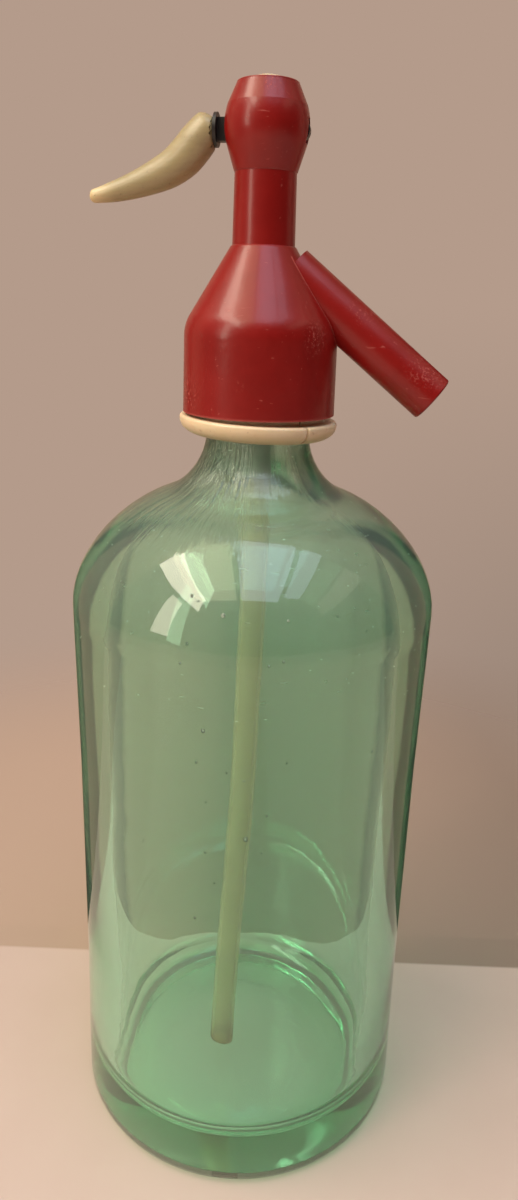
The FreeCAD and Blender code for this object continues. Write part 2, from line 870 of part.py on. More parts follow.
def make_stem():
    body = new_body("valve_stem")
    stud_end = nut_bottom - dim.stud_tail
    collar = dim.seat_hole - dim.seat_clearance
    outline = [
        (0, stud_end),
        (dim.stud_radius, stud_end),
        (dim.stud_radius, disc_top),
        (collar, disc_top),
        (collar, disc_top + dim.stem_collar),
        (dim.stem_radius, disc_top + dim.stem_collar),
        (dim.stem_radius, crown_bottom),
        (crown_radius, crown_bottom),
        (crown_radius, crown_top),
        (0, crown_top),
    ]
    revolve(body, draw_outline(new_sketch(body, "XZ_Plane", "section"), outline))
    reach = crown_radius + dim.cut_margin
    eye = new_sketch(body, "XZ_Plane", "eye")
    pocket(body, draw_outline(eye, rectangle((-reach, eye_floor), (reach, eye_ceiling))), eye_width)
    ridge_top = bar_bottom + dim.notch_depth - dim.swing_gap
    ridge_side = ridge_top - dim.ridge_radius
    ridge = new_sketch(body, "XZ_Plane", "ridge")
    outline = [
        (-dim.ridge_radius, eye_floor - dim.crown_bridge / 2),
        (dim.ridge_radius, eye_floor - dim.crown_bridge / 2),
        (dim.ridge_radius, ridge_side),
        Arc(dim.ridge_radius, 1),
        (0, ridge_top),
        Arc(dim.ridge_radius, 1),
        (-dim.ridge_radius, ridge_side),
    ]
    pad(body, draw_outline(ridge, outline), eye_width + dim.swing_gap, symmetric=True)


def make_valve():
    inner = dim.stud_radius + dim.press_gap
    ring("valve_disc", inner, seat_lip_outer + dim.disc_margin, disc_bottom, disc_top)
    nut = new_body("valve_nut")
    sketch = new_sketch(nut, "XY_Plane", "section", (0, 0, nut_bottom))
    corner = dim.nut_flats / root(Size(3))
    hexagon = [
        (corner, 0),
        (corner / 2, dim.nut_flats / 2),
        (-corner / 2, dim.nut_flats / 2),
        (-corner, 0),
        (-corner / 2, -dim.nut_flats / 2),
        (corner / 2, -dim.nut_flats / 2),
    ]
    draw_circle(draw_outline(sketch, hexagon), inner)
    pad(nut, sketch, dim.nut_height)


# Return spring between the gland washer and the stem's crown


def make_spring():
    body = new_body("return_spring")
    low = washer_top + dim.wire_radius + dim.press_gap
    rise = crown_bottom - washer_top - 2 * dim.wire_radius - 2 * dim.press_gap
    coil_radius = dim.spring_bore - dim.spring_clearance - dim.wire_radius
    wire = draw_circle(new_sketch(body, "XZ_Plane", "wire"), dim.wire_radius, (coil_radius, low))
    helix = body.newObject("PartDesign::AdditiveHelix", "return_spring_coil")
    helix.Profile = wire
    helix.ReferenceAxis = (wire, ["V_Axis"])
    helix.Mode = "height-turns-angle"
    helix.Height = rise.value
    helix.setExpression("Height", rise.formula)
    helix.Turns = dim.spring_turns.value
    helix.setExpression("Turns", dim.spring_turns.formula)
    finish_feature(body, helix, True)


# Lever bar and its handle


def make_lever_bar():
    body = new_body("lever_bar")
    half = dim.bar_height / 2
    tang_end = backplate_face - dim.tang_length
    tang_top = pivot_level + dim.tang_height / 2
    tang_bottom = pivot_level - dim.tang_height / 2
    notch_radius = sagitta_radius((0, 0), (dim.notch_width, 0), dim.notch_depth)
    notch_middle = -dim.notch_offset
    outline = [
        (pivot_reach, bar_bottom),
        Arc(half, 1),
        (pivot_reach + half, pivot_level),
        Arc(half, 1),
        (pivot_reach, bar_top),
        (-bar_reach, bar_top),
        (-bar_reach, tang_top),
        (tang_end, tang_top),
        (tang_end, tang_bottom),
        (-bar_reach, tang_bottom),
        (-bar_reach, bar_bottom),
        (notch_middle - dim.notch_width / 2, bar_bottom),
        Arc(notch_radius, -1),
        (notch_middle + dim.notch_width / 2, bar_bottom),
    ]
    side = draw_outline(new_sketch(body, "XZ_Plane", "side"), outline)
    pad(body, side, dim.bar_thickness, symmetric=True)
    plate = new_sketch(body, "YZ_Plane", "backplate", (0, 0, backplate_face))
    draw_circle(plate, dim.backplate_radius, (0, pivot_level))
    pad(body, plate, dim.backplate_thickness)


def horn_stations():
    """Centre, lean and radius of each round section of the handle, from its root to its tip."""
    lean = dim.horn_root_angle
    x = backplate_face
    z = pivot_level + dim.horn_rise
    stations = [(x, z, lean, dim.horn_root_radius)]
    for run in (dim.horn_swell, dim.horn_straight):
        stations.append((x - run * cosine(lean), z - run * sine(lean), lean, dim.horn_thick_radius))
    bends = (
        (dim.horn_tight_curve, dim.horn_middle_angle, dim.horn_thick_radius, dim.horn_middle_radius),
        (dim.horn_slack_curve, dim.horn_tip_angle, dim.horn_middle_radius, dim.horn_tip_radius),
    )
    for curve, last_lean, first_radius, last_radius in bends:
        start_x, start_z, start_lean = stations[-1][:3]
        for step in range(1, HORN_BEND_STEPS + 1):
            share = step / HORN_BEND_STEPS
            now = start_lean + (last_lean - start_lean) * share
            place_x = start_x - curve * (sine(start_lean) - sine(now))
            place_z = start_z - curve * (cosine(now) - cosine(start_lean))
            stations.append((place_x, place_z, now, first_radius + (last_radius - first_radius) * share))
    end_x, end_z, lean, radius = stations[-1]
    for step in range(1, HORN_END_STEPS + 1):
        angle = dim.horn_cover_angle * step / HORN_END_STEPS
        run = radius * sine(angle)
        stations.append((end_x - run * cosine(lean), end_z - run * sine(lean), lean, radius * cosine(angle)))
    return stations


def make_handle():
    body = new_body("lever_handle")
    sections = []
    for index, (x, z, lean, radius) in enumerate(horn_stations()):
        name = "section_%d" % index
        sections.append(draw_circle(new_sketch(body, "YZ_Plane", name, (0, z, x), -lean), radius))
    loft = body.newObject("PartDesign::AdditiveLoft", "lever_handle_loft")
    loft.Profile = sections[0]
    loft.Sections = sections[1:]
    loft.Ruled = False
    finish_feature(body, loft, True)
    reach = dim.horn_thick_radius * 2
    front = new_sketch(body, "YZ_Plane", "root_face", (0, pivot_level, backplate_face))
    draw_outline(front, rectangle((-reach, -reach), (reach, reach)))
    pocket(body, front, reach, symmetric=False, backwards=True)
    socket = new_sketch(body, "YZ_Plane", "socket", (0, pivot_level, backplate_face))
    side = dim.bar_thickness / 2 + dim.press_gap
    rise = dim.tang_height / 2 + dim.press_gap
    draw_outline(socket, rectangle((-side, -rise), (side, rise)))
    pocket(body, socket, dim.tang_length + dim.press_gap, symmetric=False)


def check_and_write():
    """Stops on any failed object or bad shape, then writes one file per body."""
    doc.recompute()
    for item in doc.Objects:
        if "Invalid" in item.State or "Error" in item.State:
            raise RuntimeError("%s is %s" % (item.Label, item.State))
    for body in bodies:
        if body.Shape.isNull() or not body.Shape.isValid() or len(body.Shape.Solids) != 1:
            raise RuntimeError("%s has no single valid solid" % body.Label)
    os.makedirs("parts", exist_ok=True)
    for body in bodies:
        body.Shape.exportStep("parts/%s.step" % body.Label)
        box = body.Shape.BoundBox
        print("%-18s %9.1f mm3  z %.2f to %.2f" % (body.Label, body.Shape.Volume, box.ZMin, box.ZMax))


fill_sheet()
make_bottle()
make_collar_half("collar_half_left", HALF_TURN - dim.split_angle)
make_collar_half("collar_half_right", -dim.split_angle)
make_head()
make_spout()
make_cap()
make_seat()
make_gaskets()
make_tube_holder()
make_sleeve()
make_dip_tube()
make_gland()
make_stem()
make_valve()
make_spring()
make_lever_bar()
make_handle()
check_and_write()
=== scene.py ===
import math

import bmesh
import bpy
from mathutils import Matrix, Vector, noise


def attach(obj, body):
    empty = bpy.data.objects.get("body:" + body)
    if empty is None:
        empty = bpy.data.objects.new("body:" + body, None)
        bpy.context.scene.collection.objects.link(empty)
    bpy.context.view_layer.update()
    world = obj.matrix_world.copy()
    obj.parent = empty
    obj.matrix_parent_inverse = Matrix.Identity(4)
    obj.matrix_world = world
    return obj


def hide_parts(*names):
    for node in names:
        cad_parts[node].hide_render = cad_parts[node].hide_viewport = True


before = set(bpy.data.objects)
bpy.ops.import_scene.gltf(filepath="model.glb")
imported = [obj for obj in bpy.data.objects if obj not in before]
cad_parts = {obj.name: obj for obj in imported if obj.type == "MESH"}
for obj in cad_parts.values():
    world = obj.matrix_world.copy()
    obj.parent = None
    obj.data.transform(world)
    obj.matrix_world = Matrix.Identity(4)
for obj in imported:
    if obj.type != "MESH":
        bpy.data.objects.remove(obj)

for leftover in ("Cube", "Light", "Camera"):  # a new file's own objects
    if leftover in bpy.data.objects:
        bpy.data.objects.remove(bpy.data.objects[leftover])
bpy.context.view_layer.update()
print("frame:", len(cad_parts), "nodes")


# small helpers

def linear(colour):  # an sRGB hex colour as Blender's linear one
    parts = [int(colour[i:i + 2], 16) / 255 for i in (1, 3, 5)]
    return [c / 12.92 if c <= 0.04045 else ((c + 0.055) / 1.055) ** 2.4 for c in parts] + [1.0]


def addNode(tree, kind, settings={}, links={}):  # settings of the node or its sockets, and what feeds them
    node = tree.nodes.new("ShaderNode" + kind)
    for key, value in settings.items():
        if key in ("From", "To"):
            node.inputs[key + " Min"].default_value, node.inputs[key + " Max"].default_value = value
        elif isinstance(key, str) and hasattr(node, key):
            setattr(node, key, value)
        else:
            node.inputs[key].default_value = value
    for key, source in links.items():
        tree.links.new(source, node.inputs[key])
    return node


def newMaterial(name, **sockets):  # the material, its tree, its shader and the place in metres
    material = bpy.data.materials.new(name)
    material.use_nodes = True
    tree = material.node_tree
    shader = tree.nodes["Principled BSDF"]
    for key, value in sockets.items():
        shader.inputs[key.replace("_", " ")].default_value = value
    return material, tree, shader, addNode(tree, "TexCoord").outputs["Object"]


def letShadowsThrough(tree, shader, colour):  # clear stuff lets the lamps through, a little tinted
    path = addNode(tree, "LightPath")
    clear = addNode(tree, "BsdfTransparent", {"Color": linear(colour)})
    both = addNode(tree, "MixShader", {},
                   {0: path.outputs["Is Shadow Ray"], 1: shader.outputs[0], 2: clear.outputs[0]})
    tree.links.new(both.outputs[0], tree.nodes["Material Output"].inputs["Surface"])


def outlineWire(corners):  # (radius, height, rounding) in millimetres, as a wire in the XZ plane
    bm = bmesh.new()
    verts = [bm.verts.new((x / 1000, 0, z / 1000)) for x, z, r in corners]
    for pair in zip(verts, verts[1:]):
        bm.edges.new(pair)
    spots = [v.co.copy() for v in verts]
    for i, (x, z, r) in enumerate(corners):
        if r:
            turn = (spots[i] - spots[i - 1]).angle(spots[i + 1] - spots[i])
            bmesh.ops.bevel(bm, geom=[verts[i]], offset=r / 1000 * math.tan(turn / 2),
                            segments=max(3, round(turn * 9)), profile=0.5, affect="VERTICES", material=-1)
    return bm


def spinAll(bm, steps, angle=2 * math.pi):
    bmesh.ops.spin(bm, geom=bm.verts[:] + bm.edges[:], cent=(0, 0, 0), axis=(0, 0, 1), angle=angle,
                   steps=steps, use_merge=angle > 6.28)


def placePiece(bm, name, material, body, nodes, crease=35):
    mesh = bpy.data.meshes.new(name)
    bm.to_mesh(mesh)
    bm.free()
    mesh.shade_smooth()
    mesh.set_sharp_from_angle(angle=math.radians(crease))
    mesh.materials.append(material)
    piece = bpy.data.objects.new(name, mesh)
    bpy.context.collection.objects.link(piece)
    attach(piece, body)
    if nodes:
        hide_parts(*nodes)
    return piece


def closeUp(bm):  # seams merged and every face turned outwards
    bmesh.ops.remove_doubles(bm, verts=bm.verts, dist=2e-6)
    bmesh.ops.recalc_face_normals(bm, faces=bm.faces)


def dress(material, *nodes):
    for node in nodes:
        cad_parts[node].material_slots[0].material = material


soft = {"interpolation_type": "SMOOTHSTEP"}  # a MapRange that starts and ends gently

# camera

camera = {"back": 0.23219, "height": 0.2496, "down": 19.42, "right": 0.44, "roll": 1.90, "turn": 8.5,
          "lens": 25.5, "sensor": 36, "shift": -0.0019, "nearest": 0.01}
# turned goes from the camera's right, back and up to the part's axes
turned = Matrix.Rotation(math.radians(camera["turn"]), 4, "Z")
lookout = bpy.data.objects.new("camera", bpy.data.cameras.new("camera"))
bpy.context.collection.objects.link(lookout)
lookout.data.lens = camera["lens"]
lookout.data.sensor_width = camera["sensor"]
lookout.data.shift_y = camera["shift"]
lookout.data.clip_start = camera["nearest"]
lookout.matrix_world = (turned @ Matrix.Translation((0, -camera["back"], camera["height"]))
                        @ Matrix.Rotation(math.radians(-camera["right"]), 4, "Z")
                        @ Matrix.Rotation(math.radians(90 - camera["down"]), 4, "X")
                        @ Matrix.Rotation(math.radians(camera["roll"]), 4, "Z"))
bpy.context.scene.camera = lookout
bpy.context.scene.view_settings.view_transform = "Standard"
print("camera placed")

# light: soft panes overhead, pale strips on the left, one high and broad, and a faint strip on the right

# middle and size in metres, seen from the camera: right, back and up; the glow is what a mirror would show
overhead, fromLeft, fromRight = (0, 0, 1), (-1, 0, 0), (1, 0, 0)
lamps = {
    "creamPane": {"middle": (-0.62, -0.54, 1.48), "size": (0.76, 1.30), "facing": overhead, "glow": 2.6,
                  "colour": "#fff0c8"},
    "bluePane": {"middle": (0.13, -0.54, 1.48), "size": (0.60, 1.30), "facing": overhead, "glow": 3.3,
                 "colour": "#dde6ff"},
    "rightPane": {"middle": (0.63, -0.46, 1.48), "size": (0.27, 1.12), "facing": overhead, "glow": 2.6,
                  "colour": "#dde6ff"},
    "highStrip": {"middle": (-1.25, -0.62, 1.80), "size": (2.2, 0.74), "facing": fromLeft, "glow": 9.8,
                  "colour": "#fff1dc"},
    "nearStrip": {"middle": (-1.25, -0.88, 0.78), "size": (0.37, 1.0), "facing": fromLeft, "glow": 6.8,
                  "colour": "#fff1dc"},
    "farStrip": {"middle": (-1.25, 0.10, 0.62), "size": (0.06, 1.1), "facing": fromLeft, "glow": 4.0,
                 "colour": "#fff1dc"},
    "rightStrip": {"middle": (1.25, -0.55, 1.32), "size": (1.3, 0.42), "facing": fromRight, "glow": 0.9,
                   "colour": "#ffe9d0"},
}
for name, lamp in lamps.items():
    light = bpy.data.lights.new(name, "AREA")
    light.shape = "RECTANGLE"
    light.size, light.size_y = lamp["size"]
    light.energy = lamp["glow"] * math.pi * lamp["size"][0] * lamp["size"][1]
    light.color = linear(lamp["colour"])[:3]
    holder = bpy.data.objects.new(name, light)
    facing = Vector(lamp["facing"]).to_track_quat("Z", "Y").to_matrix().to_4x4()
    holder.matrix_world = turned @ Matrix.Translation(lamp["middle"]) @ facing
    bpy.context.collection.objects.link(holder)

room = {"wall": "#b49b8b", "wallInShade": "#8d7c70", "left": "#6f675e", "right": "#2e2925", "above": "#a39a8c",
        "sideFade": (-0.7, 0.5), "topFade": (0.45, 0.8), "wallFade": (0.05, 0.4), "rightFade": (-0.12, 0.3),
        "lowest": -0.65}
world = bpy.data.worlds.new("room")
bpy.context.scene.world = world
world.use_nodes = True
tree = world.node_tree
tree.nodes.clear()
towards = addNode(tree, "TexCoord").outputs["Generated"]
sideways = addNode(tree, "VectorMath", {"operation": "DOT_PRODUCT", 1: turned @ Vector((1, 0, 0))},
                   {0: towards})
behind = addNode(tree, "VectorMath", {"operation": "DOT_PRODUCT", 1: turned @ Vector((0, 1, 0))},
                 {0: towards})
rightPart = addNode(tree, "MapRange", {**soft, "From": room["sideFade"]},
                    {"Value": sideways.outputs["Value"]})
sides = addNode(tree, "Mix", {"data_type": "RGBA", 6: linear(room["left"]), 7: linear(room["right"])},
                {0: rightPart.outputs[0]})
height = addNode(tree, "SeparateXYZ", {}, {0: towards})
upPart = addNode(tree, "MapRange", {**soft, "From": room["topFade"]}, {"Value": height.outputs["Z"]})
roomShade = addNode(tree, "Mix", {"data_type": "RGBA", 7: linear(room["above"])},
                    {0: upPart.outputs[0], 6: sides.outputs[2]})
wallPart = addNode(tree, "MapRange", {**soft, "From": room["wallFade"]}, {"Value": behind.outputs["Value"]})
# the wall seen straight on is painted darker towards the lower right: painted shade
lowRight = addNode(tree, "MapRange", {"From": room["rightFade"]}, {"Value": sideways.outputs["Value"]})
lowPart = addNode(tree, "MapRange", {"From Min": 0.0, "From Max": room["lowest"]},
                  {"Value": height.outputs["Z"]})
shadedPart = addNode(tree, "Math", {"operation": "MULTIPLY"},
                     {0: lowRight.outputs[0], 1: lowPart.outputs[0]})
wallWithShade = addNode(tree, "Mix", {"data_type": "RGBA", 6: linear(room["wall"]), 7: linear(room["wallInShade"])},
                   {0: shadedPart.outputs[0]})
path = addNode(tree, "LightPath")
seesWall = addNode(tree, "Math", {"operation": "MAXIMUM"},
                   {0: wallPart.outputs[0], 1: path.outputs["Is Camera Ray"]})
shade = addNode(tree, "Mix", {"data_type": "RGBA"},
                {0: seesWall.outputs[0], 6: roomShade.outputs[2], 7: wallWithShade.outputs[2]})
glow = addNode(tree, "Background", {}, {"Color": shade.outputs[2]})
addNode(tree, "OutputWorld", {}, {0: glow.outputs[0]})
print("light set")

# floor: a pale table top, and the wall behind it, pale with two dark bands of painted shade; the wall is
# there only for what is seen through glass or mirrored, and straight on its colour, with painted shade to the
# right, is painted on the floor beyond a line

floorLook = {"table": "#cfb9b0", "tableDark": "#c8b1a7", "wall": "#b59c8c", "wallInShade": "#8f7d71",
             "line": 0.042, "lineBlur": 0.0006, "lineTilt": -1.2, "grain": 0.03,
             "darkenAcross": (-0.06, 0.14), "reach": 1.5, "fade": (0.2, 0.42), "wallPlace": 0.056,
             "wallPaint": "#c3ab98", "plasterGrain": 0.05, "shadeBandColour": "#20261f",
             "shadeBandSides": (0.068, 0.08, 0.112, 0.125)}
floorPaint, tree, shader, place = newMaterial("paleTable", Roughness=0.5)
placing = addNode(tree, "Mapping",
                  {"vector_type": "TEXTURE",
                   "Rotation": (0, 0, math.radians(camera["turn"] + floorLook["lineTilt"]))},
                  {"Vector": place})
apart = addNode(tree, "SeparateXYZ", {}, {0: placing.outputs[0]})
beyond = addNode(tree, "MapRange",
                 {"From Min": floorLook["line"] - floorLook["lineBlur"],
                  "From Max": floorLook["line"] + floorLook["lineBlur"]}, {"Value": apart.outputs["Y"]})
path = addNode(tree, "LightPath")
beyondStraight = addNode(tree, "Math", {"operation": "MULTIPLY"},
                         {0: beyond.outputs[0], 1: path.outputs["Is Camera Ray"]})
grain = addNode(tree, "TexNoise", {"Scale": 1 / floorLook["grain"], "Detail": 4.0}, {"Vector": place})
grainTint = addNode(tree, "Mix",
                    {"data_type": "RGBA", 6: linear(floorLook["table"]), 7: linear(floorLook["tableDark"])},
                    {0: grain.outputs[0]})
# the wall colour on the floor is painted darker to the right as shade
across = addNode(tree, "MapRange", {"From": floorLook["darkenAcross"]}, {"Value": apart.outputs["X"]})
wallWithShade = addNode(tree, "Mix",
                   {"data_type": "RGBA", 6: linear(floorLook["wall"]), 7: linear(floorLook["wallInShade"])},
                   {0: across.outputs[0]})
paint = addNode(tree, "Mix", {"data_type": "RGBA"},
                {0: beyondStraight.outputs[0], 6: grainTint.outputs[2], 7: wallWithShade.outputs[2]})
tree.links.new(paint.outputs[2], shader.inputs["Base Color"])
away = addNode(tree, "VectorMath", {"operation": "LENGTH"}, {0: place})
fade = addNode(tree, "MapRange", {**soft, "From": floorLook["fade"]}, {"Value": away.outputs["Value"]})
clearing = addNode(tree, "Math", {"operation": "MULTIPLY"},
                   {0: fade.outputs[0], 1: beyondStraight.outputs[0]})
clear = addNode(tree, "BsdfTransparent")
both = addNode(tree, "MixShader", {}, {0: clearing.outputs[0], 1: shader.outputs[0], 2: clear.outputs[0]})
tree.links.new(both.outputs[0], tree.nodes["Material Output"].inputs["Surface"])

wallPaint, tree, shader, place = newMaterial("palePaintedWall", Roughness=0.8)
plaster = addNode(tree, "TexNoise", {"Scale": 1 / floorLook["plasterGrain"], "Detail": 3.0},
                  {"Vector": place})
plasterTint = addNode(tree, "Mix",
                      {"data_type": "RGBA", 6: linear(floorLook["wallPaint"]), 7: linear(room["wall"])},
                      {0: plaster.outputs[0]})
apart = addNode(tree, "SeparateXYZ", {}, {0: place})
aside = addNode(tree, "Math", {"operation": "ABSOLUTE"}, {0: apart.outputs["X"]})
# two dark bands of painted shade at both sides of the wall, for the dark edges seen in the glass
bandStartsAt, bandFullBy, bandFullTo, bandEndsBy = floorLook["shadeBandSides"]
bandRise = addNode(tree, "MapRange", {**soft, "From Min": bandStartsAt, "From Max": bandFullBy},
                  {"Value": aside.outputs[0]})
bandFall = addNode(tree, "MapRange", {**soft, "From Min": bandEndsBy, "From Max": bandFullTo},
                  {"Value": aside.outputs[0]})
darkPart = addNode(tree, "Math", {"operation": "MULTIPLY"}, {0: bandRise.outputs[0], 1: bandFall.outputs[0]})
paint = addNode(tree, "Mix", {"data_type": "RGBA", 7: linear(floorLook["shadeBandColour"])},
                {0: darkPart.outputs[0], 6: plasterTint.outputs[2]})
tree.links.new(paint.outputs[2], shader.inputs["Base Color"])
path = addNode(tree, "LightPath")
clear = addNode(tree, "BsdfTransparent")
inGlass = addNode(tree, "Math", {"operation": "MAXIMUM"},
                  {0: path.outputs["Is Transmission Ray"], 1: path.outputs["Is Glossy Ray"]})
both = addNode(tree, "MixShader", {}, {0: inGlass.outputs[0], 1: clear.outputs[0], 2: shader.outputs[0]})
tree.links.new(both.outputs[0], tree.nodes["Material Output"].inputs["Surface"])


def makeStage(name, paint, matrix):
    bm = bmesh.new()
    bmesh.ops.create_grid(bm, x_segments=2, y_segments=2, size=floorLook["reach"], matrix=matrix)
    mesh = bpy.data.meshes.new(name)
    bm.to_mesh(mesh)
    bm.free()
    mesh.materials.append(paint)
    stage = bpy.data.objects.new(name, mesh)
    bpy.context.collection.objects.link(stage)
    return stage


makeStage("floor", floorPaint, Matrix.Identity(4))
upright = Matrix.Rotation(math.radians(90), 4, "X")
wall = makeStage("wall", wallPaint,
                 Matrix.Translation((0, floorLook["wallPlace"], floorLook["reach"])) @ upright)
wall.matrix_world = turned
print("floor laid")

# bottle: thick green pressed glass with a wavy inner wall, fine pleats at the neck and seed bubbles

bottleShape = {  # millimetres, but metres for longEdge and from wavedLevels to insideWithin
    "outside": [(0, 5.0, 0), (20, 4.6, 60), (43.0, 0, 3), (51.6, 0, 4), (50.2, 84, 2600), (51, 162, 1200),
                (51, 189.65, 39.6), (13.9, 203.27, 17), (13.9, 225.5, 0.8), (15.9, 226.5, 0.5),
                (15.9, 234, 1.4), (9.2, 234, 0)],
    "inside": [(9.2, 234, 0), (8.5, 233.3, 0.5), (8.5, 196.7, 22), (42.0, 184.4, 31), (42.0, 162, 1200),
               (41.4, 84, 2600), (42.4, 9.5, 10), (0, 9.5, 0)],
    "steps": 192, "longEdge": 0.006, "cuts": 9, "wave": 0.45, "waveLength": 42, "outerWave": 0.05,
    "waveShift": (3.1, 1.7, 0.4), "wavedLevels": (0.0145, 0.192), "waveEnds": (0.01, 0.02),
    "wavedBeyond": 0.03, "insideWithin": 0.0478,
    "seedStretch": 1.25, "seedDepth": 48.4,  # the bubbles' distance from the axis
    "seeds": [(0, 120, 0.61), (-13, 150, 0.51), (-8, 180, 0.49), (-17, 184, 0.37), (-18, 172, 0.37),
              (-20, 167, 0.30), (5, 168, 0.30), (10, 179, 0.30), (-15, 141, 0.37), (9, 169, 0.30),
              (-6, 139, 0.27), (-1, 137, 0.29), (6, 127, 0.29), (-12, 130, 0.27), (-9, 106, 0.29),
              (-15, 94, 0.37), (-12, 115, 0.32), (5, 116, 0.29), (40, 140, 0.4), (75, 60, 0.5),
              (118, 150, 0.35), (160, 90, 0.5), (-170, 130, 0.4), (-120, 70, 0.35), (-95, 158, 0.4),
              (-60, 45, 0.3)],  # degrees round from the camera, height and radius
}
glassLook = {"absorb": (0.175, 0.825, 0.525), "density": 46.0, "shadow": "#dcd8da",
             "pleatsAround": 17, "pleatRise": 0.016, "neckFade": (0.188, 0.203),
             "pleatSide": (-0.85, -0.53, 0), "sideFade": (0.35, 0.9), "elsewhere": 0.12,
             "skinGrain": 0.007, "skin": 0.023, "relief": 0.0009, "scratchTurn": (0.6, 0.4, 0.5),
             "scratchSize": (0.012, 0.0012, 0.0009), "scratchCut": (0.7, 0.76),
             "rubbedLevels": (0.118, 0.165), "frost": 0.35}
greenGlass, tree, shader, place = newMaterial("pressedGreenGlass", Transmission_Weight=0.95, IOR=1.51,
                                              Roughness=0.0)
shader.inputs["Base Color"].default_value = (1, 1, 1, 1)
letShadowsThrough(tree, shader, glassLook["shadow"])
depth = addNode(tree, "VolumeAbsorption",
                {"Color": (*glassLook["absorb"], 1.0), "Density": glassLook["density"]})
tree.links.new(depth.outputs[0], tree.nodes["Material Output"].inputs["Volume"])
level = addNode(tree, "VectorMath", {"operation": "MULTIPLY", 1: (1, 1, 0)}, {0: place})
outwards = addNode(tree, "VectorMath", {"operation": "NORMALIZE"}, {0: level.outputs[0]})
around = addNode(tree, "VectorMath", {"operation": "SCALE", "Scale": glassLook["pleatsAround"]},
                 {0: outwards.outputs[0]})
upwards = addNode(tree, "VectorMath", {"operation": "MULTIPLY", 1: (0, 0, 1 / glassLook["pleatRise"])},
                  {0: place})
meridians = addNode(tree, "VectorMath", {"operation": "ADD"}, {0: around.outputs[0], 1: upwards.outputs[0]})
pleats = addNode(tree, "TexNoise", {"Scale": 1.0, "Detail": 3.0, "Roughness": 0.6},
                 {"Vector": meridians.outputs[0]})
apart = addNode(tree, "SeparateXYZ", {}, {0: place})
nearNeck = addNode(tree, "MapRange", {**soft, "From": glassLook["neckFade"]}, {"Value": apart.outputs["Z"]})
leftSide = addNode(tree, "VectorMath",
                   {"operation": "DOT_PRODUCT", 1: turned @ Vector(glassLook["pleatSide"])},
                   {0: outwards.outputs[0]})
leftMost = addNode(tree, "MapRange",
                   {**soft, "From": glassLook["sideFade"], "To Min": glassLook["elsewhere"]},
                   {"Value": leftSide.outputs["Value"]})
where = addNode(tree, "Math", {"operation": "MULTIPLY"}, {0: nearNeck.outputs[0], 1: leftMost.outputs[0]})
pleatHeight = addNode(tree, "Math", {"operation": "MULTIPLY"}, {0: pleats.outputs[0], 1: where.outputs[0]})
orange = addNode(tree, "TexNoise", {"Scale": 1 / glassLook["skinGrain"], "Detail": 2.0}, {"Vector": place})
skin = addNode(tree, "Math", {"operation": "MULTIPLY", 1: glassLook["skin"]}, {0: orange.outputs[0]})
allHeight = addNode(tree, "Math", {"operation": "ADD"}, {0: pleatHeight.outputs[0], 1: skin.outputs[0]})
relief = addNode(tree, "Bump", {"Strength": 1.0, "Distance": glassLook["relief"]},
                 {"Height": allHeight.outputs[0]})
tree.links.new(relief.outputs[0], shader.inputs["Normal"])
scratchTurn = addNode(tree, "Mapping",
                      {"Rotation": glassLook["scratchTurn"],
                       "Scale": [1 / size for size in glassLook["scratchSize"]]}, {"Vector": place})
scratches = addNode(tree, "TexNoise", {"Scale": 1.0, "Detail": 2.0}, {"Vector": scratchTurn.outputs[0]})
scratchPart = addNode(tree, "MapRange", {"From": glassLook["scratchCut"]}, {"Value": scratches.outputs[0]})
rubbed = addNode(tree, "MapRange", {**soft, "From": glassLook["rubbedLevels"]},
                 {"Value": apart.outputs["Z"]})
scratchMask = addNode(tree, "Math", {"operation": "MULTIPLY"},
                      {0: scratchPart.outputs[0], 1: rubbed.outputs[0]})
frost = addNode(tree, "Math", {"operation": "MULTIPLY", 1: glassLook["frost"]}, {0: scratchMask.outputs[0]})
tree.links.new(frost.outputs[0], shader.inputs["Roughness"])


def waveWalls(bm):  # pressing left the inside uneven and the outside almost true
    (bottom, top), (lowEnd, highEnd) = bottleShape["wavedLevels"], bottleShape["waveEnds"]
    for vert in bm.verts:
        out = Vector((vert.co.x, vert.co.y, 0))
        if bottom < vert.co.z < top and out.length > bottleShape["wavedBeyond"]:
            inside = out.length < bottleShape["insideWithin"]
            swing = noise.noise(vert.co * 1000 / bottleShape["waveLength"] + Vector(bottleShape["waveShift"]))
            ends = min(1, (vert.co.z - bottom) / lowEnd, (top - vert.co.z) / highEnd)
            size = bottleShape["wave"] if inside else -bottleShape["outerWave"] * (1 + abs(swing)) / 2
            vert.co += out.normalized() * (swing if inside else 1) * ends * size / 1000


def makeBottle():
    bm = outlineWire(bottleShape["outside"] + bottleShape["inside"][1:])
    longEdges = [e for e in bm.edges if e.calc_length() > bottleShape["longEdge"]]
    bmesh.ops.subdivide_edges(bm, edges=longEdges, cuts=bottleShape["cuts"])
    spinAll(bm, bottleShape["steps"])
    closeUp(bm)
    waveWalls(bm)
    for azimuth, height, radius in bottleShape["seeds"]:
        side = math.radians(azimuth)
        spot = turned @ Vector((math.sin(side), -math.cos(side), 0)) * bottleShape["seedDepth"]
        stretch = Matrix.Diagonal((1, 1, bottleShape["seedStretch"], 1))
        where = Matrix.Translation((spot + Vector((0, 0, height))) / 1000) @ stretch
        bubble = bmesh.ops.create_icosphere(bm, subdivisions=2, radius=radius / 1000, matrix=where)
        bubbleFaces = list({face for vert in bubble["verts"] for face in vert.link_faces})
        bmesh.ops.reverse_faces(bm, faces=bubbleFaces)  # out of the glass is into the bubble
    return placePiece(bm, "bottle", greenGlass, "bottle_and_head", ["glass_bottle"])


makeBottle()
print("bottle made")

# dip tube: drawn milky polythene, more see-through than white, yellowed; and the moulded grey rubber sleeve

